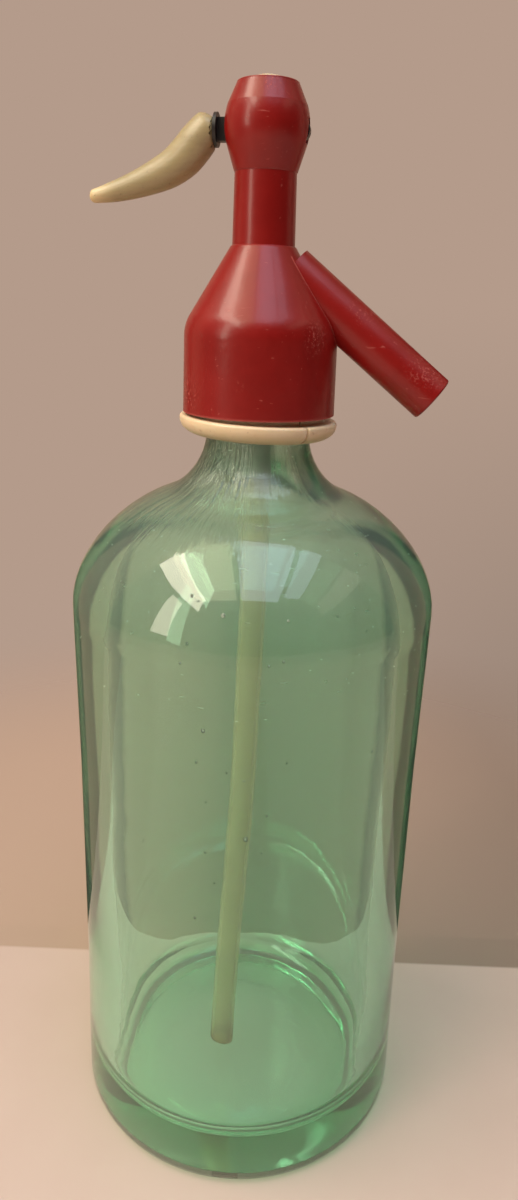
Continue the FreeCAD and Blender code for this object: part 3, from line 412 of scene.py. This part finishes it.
tubeLook = {"milk": "#ebe4c4", "deep": "#dcd4a8", "end": "#bd9f62", "shadow": "#e8e8d8",
            "streakSize": (0.003, 0.003, 0.03), "endLevels": (0.024, 0.014)}
sleeveLook = {"grey": "#b4b6aa", "pale": "#cccdc2", "grain": 0.002}
milkyTube, tree, shader, place = newMaterial("milkyPolythene", IOR=1.14, Roughness=0.25,
                                             Transmission_Weight=0.8)
streaky = addNode(tree, "Mapping", {"Scale": [1 / size for size in tubeLook["streakSize"]]},
                  {"Vector": place})
streaks = addNode(tree, "TexNoise", {"Scale": 1.0, "Detail": 3.0}, {"Vector": streaky.outputs[0]})
milk = addNode(tree, "Mix", {"data_type": "RGBA", 6: linear(tubeLook["milk"]), 7: linear(tubeLook["deep"])},
               {0: streaks.outputs[0]})
apart = addNode(tree, "SeparateXYZ", {}, {0: place})
nearEnd = addNode(tree, "MapRange", {**soft, "From": tubeLook["endLevels"]}, {"Value": apart.outputs["Z"]})
tubeTint = addNode(tree, "Mix", {"data_type": "RGBA", 7: linear(tubeLook["end"])},
                   {0: nearEnd.outputs[0], 6: milk.outputs[2]})
tree.links.new(tubeTint.outputs[2], shader.inputs["Base Color"])
letShadowsThrough(tree, shader, tubeLook["shadow"])
dress(milkyTube, "dip_tube")
greyRubber, tree, shader, place = newMaterial("greySiliconeSleeve", IOR=1.15, Roughness=0.4,
                                              Transmission_Weight=0.25)
mottle = addNode(tree, "TexNoise", {"Scale": 1 / sleeveLook["grain"], "Detail": 4.0}, {"Vector": place})
rubberTint = addNode(tree, "Mix",
                     {"data_type": "RGBA", 6: linear(sleeveLook["grey"]), 7: linear(sleeveLook["pale"])},
                     {0: mottle.outputs[0]})
tree.links.new(rubberTint.outputs[2], shader.inputs["Base Color"])
dress(greyRubber, "tube_sleeve")
print("tube finished")

# red head and spout: moulded styrene, glossy, dulled by fine scratches and scuffed where it is handled

redLook = {"light": "#961916", "dark": "#730f0c", "scuff": "#c4665c", "mottle": 0.014, "grain": 0.0007,
           "handling": 0.0045, "chafe": (0.54, 0.64), "hairTurn": (0.3, 0.9, 0.2),
           "hairSize": (0.009, 0.0005, 0.0008), "hairCut": (0.7, 0.75), "footLevels": (0.2213, 0.2207),
           "worn": 0.75, "gloss": (0.24, 0.36), "ripple": 0.5, "relief": 0.0004}
ovalLine = {"middle": (-0.0185, -0.0085, 0.2338), "turn": -66, "size": (0.0085, 1, 0.0095),
            "halfWidth": 0.035}
# a fine pale line painted where the spout meets the cone
spoutSeam = {"level": 0.2622, "fall": 38.4, "radius": 0.00636, "halfWidth": 0.00011, "top": 0.2595,
             "from": 0.005}
scuffs = [  # middle of a rubbed patch in millimetres in the part's axes, and its radius
    ((28, -6, 249), 7), ((44, -6, 235), 8), ((54, -5, 228), 6), ((16, -12, 241), 6), ((-17, -11, 226), 8),
    ((2, -8, 297), 3.5), ((-2, -19, 229), 2), ((-8, 17, 235), 9), ((30, 6, 246), 9), ((5, 8, 292), 6),
]
redPlastic, tree, shader, place = newMaterial("mouldedRedStyrene", IOR=1.42, Coat_Weight=0.1,
                                              Coat_Roughness=0.07)
mottle = addNode(tree, "TexNoise", {"Scale": 1 / redLook["mottle"], "Detail": 5.0, "Roughness": 0.6},
                 {"Vector": place})
redTint = addNode(tree, "Mix",
                  {"data_type": "RGBA", 6: linear(redLook["dark"]), 7: linear(redLook["light"])},
                  {0: mottle.outputs[0]})
patches = None
for middle, radius in scuffs:
    apartBy = addNode(tree, "VectorMath", {"operation": "DISTANCE", 1: Vector(middle) / 1000}, {0: place})
    patch = addNode(tree, "MapRange", {**soft, "From Min": radius / 1000, "From Max": 0.0},
                    {"Value": apartBy.outputs["Value"]})
    patches = patch if patches is None else addNode(tree, "Math", {"operation": "MAXIMUM"},
                                                    {0: patches.outputs[0], 1: patch.outputs[0]})
grit = addNode(tree, "TexNoise", {"Scale": 1 / redLook["grain"], "Detail": 4.0, "Roughness": 0.65},
               {"Vector": place})
chafe = addNode(tree, "MapRange", {"From": redLook["chafe"]}, {"Value": grit.outputs[0]})
scuffed = addNode(tree, "Math", {"operation": "MULTIPLY"}, {0: patches.outputs[0], 1: chafe.outputs[0]})
scratchTurn = addNode(tree, "Mapping",
                      {"Rotation": redLook["hairTurn"],
                       "Scale": [1 / size for size in redLook["hairSize"]]}, {"Vector": place})
hairs = addNode(tree, "TexNoise", {"Scale": 1.0, "Detail": 2.0}, {"Vector": scratchTurn.outputs[0]})
hairLines = addNode(tree, "MapRange", {"From": redLook["hairCut"], "To Max": 0.5},
                    {"Value": hairs.outputs[0]})
apart = addNode(tree, "SeparateXYZ", {}, {0: place})
footEdge = addNode(tree, "MapRange", {"From": redLook["footLevels"]}, {"Value": apart.outputs["Z"]})
footWear = addNode(tree, "Math", {"operation": "MULTIPLY"}, {0: footEdge.outputs[0], 1: grit.outputs[0]})
fromSpout = addNode(tree, "VectorMath", {"operation": "SUBTRACT", 1: (0, 0, spoutSeam["level"])},
                    {0: place})
slope = math.radians(spoutSeam["fall"])
offSpout = addNode(tree, "VectorMath",
                   {"operation": "CROSS_PRODUCT", 1: (math.cos(slope), 0, -math.sin(slope))},
                   {0: fromSpout.outputs[0]})
spoutReach = addNode(tree, "VectorMath", {"operation": "LENGTH"}, {0: offSpout.outputs[0]})
seamLine = addNode(tree, "Math",
                   {"operation": "COMPARE", 1: spoutSeam["radius"], 2: spoutSeam["halfWidth"]},
                   {0: spoutReach.outputs["Value"]})
onSpoutSide = addNode(tree, "Math", {"operation": "GREATER_THAN", 1: spoutSeam["from"]},
                      {0: apart.outputs["X"]})
belowTop = addNode(tree, "Math", {"operation": "LESS_THAN", 1: spoutSeam["top"]}, {0: apart.outputs["Z"]})
seamRun = addNode(tree, "Math", {"operation": "MULTIPLY"},
                  {0: seamLine.outputs[0], 1: onSpoutSide.outputs[0]})
seam = addNode(tree, "Math", {"operation": "MULTIPLY"}, {0: seamRun.outputs[0], 1: belowTop.outputs[0]})
# the pale line where the spout meets the cone joins the wear marks here
hairsOrSeam = addNode(tree, "Math", {"operation": "MAXIMUM"}, {0: hairLines.outputs[0], 1: seam.outputs[0]})
worn = addNode(tree, "Math", {"operation": "MAXIMUM"}, {0: scuffed.outputs[0], 1: hairsOrSeam.outputs[0]})
wornAll = addNode(tree, "Math", {"operation": "MAXIMUM"}, {0: worn.outputs[0], 1: footWear.outputs[0]})
wornPart = addNode(tree, "Math", {"operation": "MULTIPLY", 1: redLook["worn"]}, {0: wornAll.outputs[0]})
redPaint = addNode(tree, "Mix", {"data_type": "RGBA", 7: linear(redLook["scuff"])},
                   {0: wornPart.outputs[0], 6: redTint.outputs[2]})
tree.links.new(redPaint.outputs[2], shader.inputs["Base Color"])
gloss = addNode(tree, "MapRange", {"To": redLook["gloss"]}, {"Value": mottle.outputs[0]})
glossWorn = addNode(tree, "Math", {"operation": "ADD", "use_clamp": True},
                    {0: gloss.outputs[0], 1: wornPart.outputs[0]})
tree.links.new(glossWorn.outputs[0], shader.inputs["Roughness"])
ripple = addNode(tree, "TexNoise", {"Scale": 1 / redLook["handling"], "Detail": 3.0}, {"Vector": place})
ovalMap = addNode(tree, "Mapping",
                  {"vector_type": "TEXTURE", "Location": turned @ Vector(ovalLine["middle"]),
                   "Rotation": (0, 0, math.radians(camera["turn"] + ovalLine["turn"])),
                   "Scale": ovalLine["size"]}, {"Vector": place})
flatOval = addNode(tree, "VectorMath", {"operation": "MULTIPLY", 1: (1, 0, 1)}, {0: ovalMap.outputs[0]})
ovalReach = addNode(tree, "VectorMath", {"operation": "LENGTH"}, {0: flatOval.outputs[0]})
offLine = addNode(tree, "Math", {"operation": "COMPARE", 1: 1.0, 2: ovalLine["halfWidth"]},
                  {0: ovalReach.outputs["Value"]})
rippleLow = addNode(tree, "Math", {"operation": "MULTIPLY", 1: redLook["ripple"]}, {0: ripple.outputs[0]})
heights = addNode(tree, "Math", {"operation": "ADD"}, {0: rippleLow.outputs[0], 1: offLine.outputs[0]})
relief = addNode(tree, "Bump", {"Strength": 0.45, "Distance": redLook["relief"]},
                 {"Height": heights.outputs[0]})
tree.links.new(relief.outputs[0], shader.inputs["Normal"])
dress(redPlastic, "head_shell", "spout_tube")
print("head finished")

# collar: two half rings of cream plastic that sit a little askew under the head

collarShape = {
    "section": [(14.15, 223.4, 0), (14.15, 215.3, 0.5), (15.6, 214.55, 0.6), (18.6, 214.9, 4.5),
                (21.12, 216.9, 3.0), (21.12, 219.5, 0.75), (17.6, 219.5, 0.5), (17.4, 231.9, 0.3),
                (16.3, 231.9, 0.3), (16.3, 223.4, 0)],
    "split": 44.5, "kerf": 1.6, "steps": 72, "endRound": 0.00025, "tilt": 1.6, "pivotLevel": 219,
}
# stain is the colour of the real stains and also of the painted shade under the collar
creamLook = {"light": "#ead6b6", "mid": "#dcc29a", "stain": "#a17d55", "mottle": 0.007, "spots": 0.0021,
             "stainCut": (0.6, 0.75), "undersideShadeLevels": (0.2175, 0.2145), "lumps": 0.003, "relief": 0.0003}
creamPlastic, tree, shader, place = newMaterial("agedCreamUrea", IOR=1.5, Subsurface_Weight=0.1,
                                                Subsurface_Scale=0.002, Coat_Weight=0.15,
                                                Coat_Roughness=0.12)
mottle = addNode(tree, "TexNoise", {"Scale": 1 / creamLook["mottle"], "Detail": 5.0, "Roughness": 0.6},
                 {"Vector": place})
creamTint = addNode(tree, "Mix",
                    {"data_type": "RGBA", 6: linear(creamLook["light"]), 7: linear(creamLook["mid"])},
                    {0: mottle.outputs[0]})
blots = addNode(tree, "TexNoise", {"Scale": 1 / creamLook["spots"], "Detail": 5.0, "Roughness": 0.7},
                {"Vector": place})
stain = addNode(tree, "MapRange", {"From": creamLook["stainCut"], "To Max": 0.7},
                {"Value": blots.outputs[0]})
stained = addNode(tree, "Mix", {"data_type": "RGBA", 7: linear(creamLook["stain"])},
                  {0: stain.outputs[0], 6: creamTint.outputs[2]})
apart = addNode(tree, "SeparateXYZ", {}, {0: place})
# the lower, rounded part of the collar is painted darker in the stain colour: painted shade
under = addNode(tree, "MapRange", {**soft, "From": creamLook["undersideShadeLevels"], "To Max": 0.45},
                {"Value": apart.outputs["Z"]})
undersideShaded = addNode(tree, "Mix", {"data_type": "RGBA", 7: linear(creamLook["stain"])},
                {0: under.outputs[0], 6: stained.outputs[2]})
tree.links.new(undersideShaded.outputs[2], shader.inputs["Base Color"])
gloss = addNode(tree, "MapRange", {"To": (0.3, 0.45)}, {"Value": blots.outputs[0]})
tree.links.new(gloss.outputs[0], shader.inputs["Roughness"])
lumps = addNode(tree, "TexNoise", {"Scale": 1 / creamLook["lumps"], "Detail": 4.0}, {"Vector": place})
relief = addNode(tree, "Bump", {"Strength": 0.3, "Distance": creamLook["relief"]},
                 {"Height": lumps.outputs[0]})
tree.links.new(relief.outputs[0], shader.inputs["Normal"])


def makeCollarHalf(name, node, start):
    bm = outlineWire(collarShape["section"])
    ends = [v for v in bm.verts if len(v.link_edges) == 1]
    bm.edges.new(ends)
    firstTurn = Matrix.Rotation(math.radians(start + collarShape["kerf"] / 2), 3, "Z")
    bmesh.ops.rotate(bm, verts=bm.verts, cent=(0, 0, 0), matrix=firstTurn)
    spinAll(bm, collarShape["steps"], math.radians(180 - collarShape["kerf"]))
    bmesh.ops.remove_doubles(bm, verts=bm.verts, dist=2e-6)
    bmesh.ops.holes_fill(bm, edges=[e for e in bm.edges if e.is_boundary])
    rims = [e for e in bm.edges if len(e.link_faces) == 2 and any(len(f.verts) > 4 for f in e.link_faces)]
    bmesh.ops.bevel(bm, geom=rims, offset=collarShape["endRound"], segments=2, profile=0.5, affect="EDGES",
                    material=-1)
    closeUp(bm)
    tilt = turned @ Matrix.Rotation(math.radians(collarShape["tilt"]), 4, "Y") @ turned.inverted()
    bmesh.ops.rotate(bm, verts=bm.verts, cent=(0, 0, collarShape["pivotLevel"] / 1000),
                     matrix=tilt.to_3x3())
    return placePiece(bm, name, creamPlastic, "bottle_and_head", [node])


makeCollarHalf("collarHalfRight", "collar_half_right", -collarShape["split"])
makeCollarHalf("collarHalfLeft", "collar_half_left", 180 - collarShape["split"])
dress(creamPlastic, "top_cap")
print("collar made")

# handle: a horn of cast cream plastic with a soft crest along its upper side, yellowed, and painted paler at
# its tip as a highlight

hornShape = {  # millimetres and degrees below level; runs are lengths with the angle at their ends
    "root": (-14.3, 288.5), "startAngle": 49, "runs": [(6.7, 49), (8.55, 24.5), (19.2, 9.5)],
    "step": 0.9, "segments": 32, "crest": 0.1, "crestFocus": 6, "flatten": 0.97,
    "radii": [(0, 3.9), (0.06, 4.2), (0.14, 4.4), (0.26, 4.4), (0.45, 3.9), (0.68, 3.0), (0.86, 2.3),
              (1.0, 1.6)],
    "rootBows": (80, 65, 48, 30, 14, 0), "rootDome": 0.6, "tipBows": (18, 36, 54, 70, 82), "tipDome": 0.9,
    "plateFace": -12.92, "rim": 0.6,
}
hornLook = {"cream": "#b0a077", "deep": "#938460", "tip": "#ddc596", "under": "#77654a", "streak": 0.0016,
            "lean": -25, "streakLength": 0.012, "tipFrom": -0.037, "tipTo": -0.046, "speck": 0.0012,
            "speckCut": (0.62, 0.72), "gloss": (0.3, 0.5), "relief": 0.0003}
agedHorn, tree, shader, place = newMaterial("castCreamResin", IOR=1.5, Subsurface_Weight=0.08,
                                            Subsurface_Scale=0.002, Coat_Weight=0.1, Coat_Roughness=0.15)
lengthwise = addNode(tree, "Mapping",
                     {"Rotation": (0, math.radians(hornLook["lean"]), 0),
                      "Scale": (1 / hornLook["streakLength"], 1 / hornLook["streak"],
                                1 / hornLook["streak"])}, {"Vector": place})
streaks = addNode(tree, "TexNoise", {"Scale": 1.0, "Detail": 5.0, "Roughness": 0.6},
                  {"Vector": lengthwise.outputs[0]})
hornTint = addNode(tree, "Mix",
                   {"data_type": "RGBA", 6: linear(hornLook["cream"]), 7: linear(hornLook["deep"])},
                   {0: streaks.outputs[0]})
apart = addNode(tree, "SeparateXYZ", {}, {0: place})
# the tip is painted paler towards its end: a painted highlight
nearTip = addNode(tree, "MapRange",
                  {**soft, "From Min": hornLook["tipFrom"], "From Max": hornLook["tipTo"]},
                  {"Value": apart.outputs["X"]})
paintedTipHighlight = addNode(tree, "Mix", {"data_type": "RGBA", 7: linear(hornLook["tip"])},
                  {0: nearTip.outputs[0], 6: hornTint.outputs[2]})
specks = addNode(tree, "TexNoise", {"Scale": 1 / hornLook["speck"], "Detail": 4.0, "Roughness": 0.7},
                 {"Vector": place})
speckPart = addNode(tree, "MapRange", {"From": hornLook["speckCut"], "To Max": 0.6},
                    {"Value": specks.outputs[0]})
hornPaint = addNode(tree, "Mix", {"data_type": "RGBA", 7: linear(hornLook["under"])},
                    {0: speckPart.outputs[0], 6: paintedTipHighlight.outputs[2]})
tree.links.new(hornPaint.outputs[2], shader.inputs["Base Color"])
gloss = addNode(tree, "MapRange", {"To": hornLook["gloss"]}, {"Value": streaks.outputs[0]})
tree.links.new(gloss.outputs[0], shader.inputs["Roughness"])
relief = addNode(tree, "Bump", {"Strength": 0.3, "Distance": hornLook["relief"]},
                 {"Height": streaks.outputs[0]})
tree.links.new(relief.outputs[0], shader.inputs["Normal"])


def stepBetween(stops, where):
    for (low, lowValue), (high, highValue) in zip(stops, stops[1:]):
        if where <= high:
            return lowValue + (highValue - lowValue) * (where - low) / (high - low)
    return stops[-1][1]


def addHornRing(bm, middle, angle, radius):
    ring = bmesh.ops.create_circle(bm, segments=hornShape["segments"], radius=radius / 1000)["verts"]
    for vert in ring:
        upward = max(0, vert.co.normalized().y)
        vert.co *= 1 + hornShape["crest"] * upward ** hornShape["crestFocus"]
        vert.co.x *= hornShape["flatten"]
    slope = math.radians(angle)
    along = Vector((-math.cos(slope), 0, -math.sin(slope)))
    up = Vector((-math.sin(slope), 0, math.cos(slope)))
    turn = Matrix((up.cross(along), up, along)).transposed().to_4x4()
    bmesh.ops.transform(bm, matrix=Matrix.Translation(middle / 1000) @ turn, verts=ring)
    return list({edge for vert in ring for edge in vert.link_edges})


def makeHorn():
    bm = bmesh.new()
    middle = Vector((hornShape["root"][0], 0, hornShape["root"][1]))
    whole = sum(length for length, angle in hornShape["runs"])
    gone, angle = 0, hornShape["startAngle"]
    rootRadius, slope = hornShape["radii"][0][1], math.radians(angle)
    rings = []
    for bow in hornShape["rootBows"]:  # the round shoulder at the root
        out = rootRadius * hornShape["rootDome"] * math.sin(math.radians(bow))
        spot = middle + Vector((math.cos(slope), 0, math.sin(slope))) * out
        rings.append(addHornRing(bm, spot, angle, rootRadius * math.cos(math.radians(bow))))
    for length, endAngle in hornShape["runs"]:
        count = round(length / hornShape["step"])
        for part in range(count):
            nextAngle = angle + (endAngle - angle) / (count - part)
            slope = math.radians((angle + nextAngle) / 2)
            middle = middle + Vector((-math.cos(slope), 0, -math.sin(slope))) * length / count
            angle = nextAngle
            gone += length / count
            rings.append(addHornRing(bm, middle, angle, stepBetween(hornShape["radii"], gone / whole)))
    tipRadius, slope = hornShape["radii"][-1][1], math.radians(angle)
    for bow in hornShape["tipBows"]:  # the round end
        out = tipRadius * hornShape["tipDome"] * math.sin(math.radians(bow))
        spot = middle + Vector((-math.cos(slope), 0, -math.sin(slope))) * out
        rings.append(addHornRing(bm, spot, angle, tipRadius * math.cos(math.radians(bow))))
    for pair in zip(rings, rings[1:]):
        bmesh.ops.bridge_loops(bm, edges=pair[0] + pair[1])
    bmesh.ops.holes_fill(bm, edges=[e for e in bm.edges if e.is_boundary])
    face = hornShape["plateFace"] / 1000
    bmesh.ops.bisect_plane(bm, geom=bm.verts[:] + bm.edges[:] + bm.faces[:], plane_co=(face, 0, 0),
                           plane_no=(1, 0, 0), clear_outer=True)
    rim = [e for e in bm.edges if e.is_boundary]
    bmesh.ops.holes_fill(bm, edges=rim)
    bmesh.ops.bevel(bm, geom=rim, offset=hornShape["rim"] / 1000, segments=3, profile=0.5, affect="EDGES",
                    material=-1)
    closeUp(bm)
    return placePiece(bm, "horn", agedHorn, "lever", ["lever_handle"], crease=50)


makeHorn()
print("handle made")

# the small parts: a mottled tint, gloss and skin for each, by what it is made of

smallParts = {
    # yellow and turned
    "turnedBrass": {"light": "#c0a05c", "dark": "#8f7038", "grain": 0.0009, "gloss": (0.2, 0.4),
                    "bump": 0.00003, "sockets": {"Metallic": 1.0},
                    "nodes": ["valve_stem", "valve_nut", "gland_washer"]},
    # dull and a bit dusty
    "blackNitrile": {"light": "#2b2a29", "dark": "#171717", "grain": 0.0006, "gloss": (0.55, 0.8),
                     "bump": 0.00005, "sockets": {},
                     "nodes": ["lip_gasket", "head_gasket", "valve_disc", "stem_seal"]},
    # waxy and a little see-through
    "whitePolythene": {"light": "#e4e1d6", "dark": "#cfcabb", "grain": 0.0015, "gloss": (0.35, 0.5),
                       "bump": 0.00003, "sockets": {"Subsurface Weight": 0.15, "Subsurface Scale": 0.002},
                       "nodes": ["tube_holder", "valve_seat"]},
    # drawn wire, bright
    "springSteel": {"light": "#a9a9a6", "dark": "#77756f", "grain": 0.0004, "gloss": (0.2, 0.35),
                    "bump": 0.00002, "sockets": {"Metallic": 1.0}, "nodes": ["return_spring"]},
}
for name, look in smallParts.items():
    paint, tree, shader, place = newMaterial(name)
    for key, value in look["sockets"].items():
        shader.inputs[key].default_value = value
    mottle = addNode(tree, "TexNoise", {"Scale": 1 / look["grain"], "Detail": 4.0}, {"Vector": place})
    tint = addNode(tree, "Mix", {"data_type": "RGBA", 6: linear(look["light"]), 7: linear(look["dark"])},
                   {0: mottle.outputs[0]})
    tree.links.new(tint.outputs[2], shader.inputs["Base Color"])
    gloss = addNode(tree, "MapRange", {"To": look["gloss"]}, {"Value": mottle.outputs[0]})
    tree.links.new(gloss.outputs[0], shader.inputs["Roughness"])
    relief = addNode(tree, "Bump", {"Strength": 0.5, "Distance": look["bump"]},
                     {"Height": mottle.outputs[0]})
    tree.links.new(relief.outputs[0], shader.inputs["Normal"])
    dress(paint, *look["nodes"])

# lever bar: pressed steel with black enamel, glossy, with a few pale chips

barLook = {"black": "#161413", "sheen": "#2a2725", "chip": "#cfc8bd", "mottle": 0.003, "chipSize": 0.0007,
           "chipCut": (0.7, 0.74), "gloss": (0.25, 0.5), "relief": 0.0001}
blackEnamel, tree, shader, place = newMaterial("chippedBlackEnamel", IOR=1.5)
mottle = addNode(tree, "TexNoise", {"Scale": 1 / barLook["mottle"], "Detail": 4.0}, {"Vector": place})
barTint = addNode(tree, "Mix",
                  {"data_type": "RGBA", 6: linear(barLook["black"]), 7: linear(barLook["sheen"])},
                  {0: mottle.outputs[0]})
chips = addNode(tree, "TexNoise", {"Scale": 1 / barLook["chipSize"], "Detail": 4.0, "Roughness": 0.7},
                {"Vector": place})
chipPart = addNode(tree, "MapRange", {"From": barLook["chipCut"], "To Max": 0.7},
                   {"Value": chips.outputs[0]})
barPaint = addNode(tree, "Mix", {"data_type": "RGBA", 7: linear(barLook["chip"])},
                   {0: chipPart.outputs[0], 6: barTint.outputs[2]})
tree.links.new(barPaint.outputs[2], shader.inputs["Base Color"])
gloss = addNode(tree, "MapRange", {"To": barLook["gloss"]}, {"Value": mottle.outputs[0]})
tree.links.new(gloss.outputs[0], shader.inputs["Roughness"])
relief = addNode(tree, "Bump", {"Strength": 0.4, "Distance": barLook["relief"], "invert": True},
                 {"Height": chipPart.outputs[0]})
tree.links.new(relief.outputs[0], shader.inputs["Normal"])
dress(blackEnamel, "lever_bar")
print("small parts finished")
